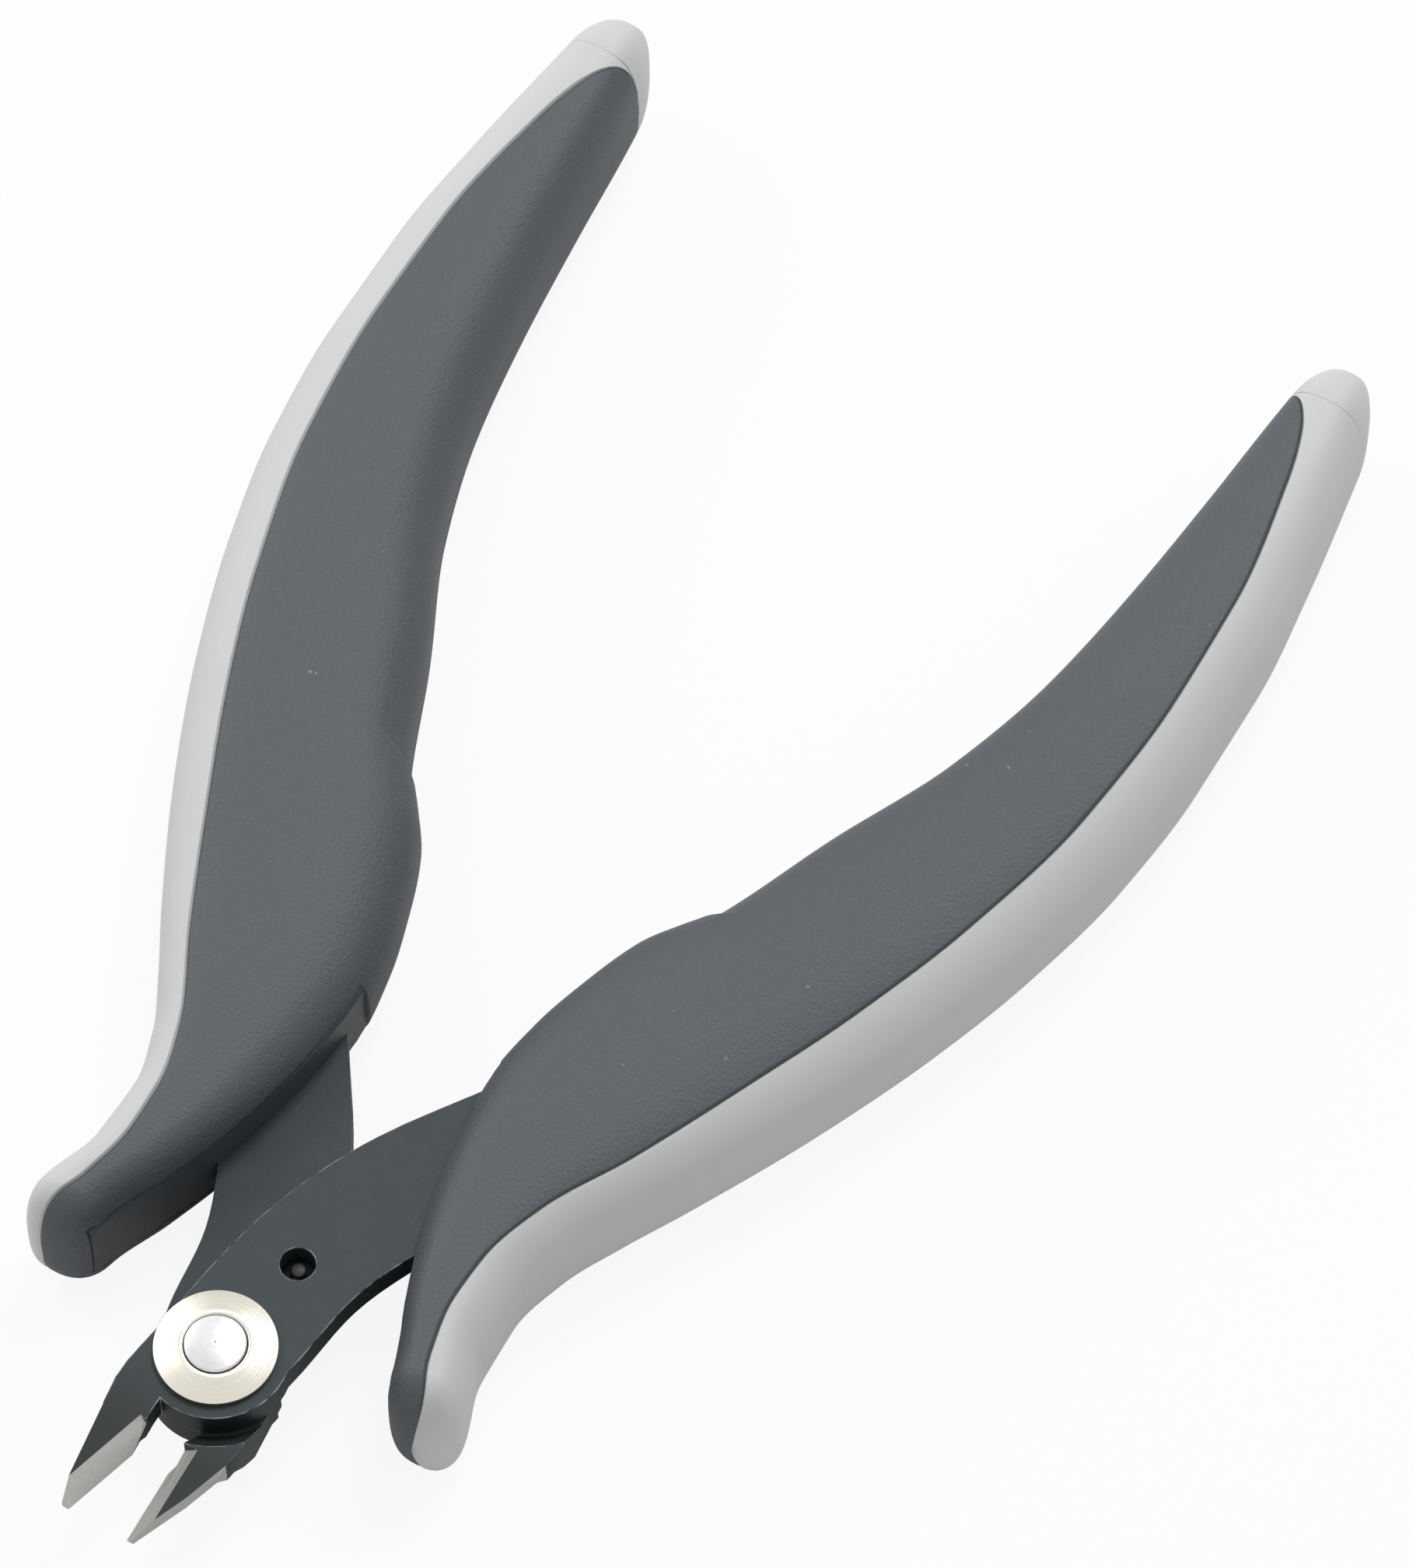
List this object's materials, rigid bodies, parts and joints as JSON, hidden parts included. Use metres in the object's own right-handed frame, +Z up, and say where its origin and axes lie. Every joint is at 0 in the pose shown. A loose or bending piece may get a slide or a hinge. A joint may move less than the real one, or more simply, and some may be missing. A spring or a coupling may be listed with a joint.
{
  "type": "flush cutter",
  "caption": "Flush cutter for electronics work: two crossed dark steel arms on a turned rivet joint, hidden return spring, two-tone contoured grips, jaws open.",
  "frame": {"origin": "on the rest plane under the middle of the tool's length, below the line through the pivot axis", "axes": "+Y from the jaws to the grip ends, +X towards the right grip seen from the front, +Z up out of the front face, along the pivot axis"},
  "size_m": [0.0784, 0.133, 0.013],
  "materials": {
    "arm_steel": "black oxide steel, satin, with bright ground cutting bevels",
    "pivot_metal": "fine turned nickel",
    "spring_steel": "dark oiled spring wire",
    "grip_core": "hard smooth dark plastic",
    "grip_skin": "fine-grained soft dark grey",
    "grip_spine": "smooth satin light grey"
  },
  "bodies": {
    "rear_half": {"rear_arm": "arm_steel", "pivot_rivet": "pivot_metal", "front_collar": "pivot_metal", "back_collar": "pivot_metal", "return_spring": "spring_steel", "left_grip_core": "grip_core", "left_grip_skin": "grip_skin", "left_grip_spine": "grip_spine"},
    "front_half": {"front_arm": "arm_steel", "right_grip_core": "grip_core", "right_grip_skin": "grip_skin", "right_grip_spine": "grip_spine"}
  },
  "joints": [
    {"name": "pivot", "type": "hinge", "parent": "rear_half", "child": "front_half", "pos_m": [0, -0.05065, 0.0065], "axis": [0, 0, 1], "range_deg": [0, 17.7], "stiffness_Nm_per_rad": 1, "springref_deg": -11.46, "deforming": ["return_spring"]}
  ]
}
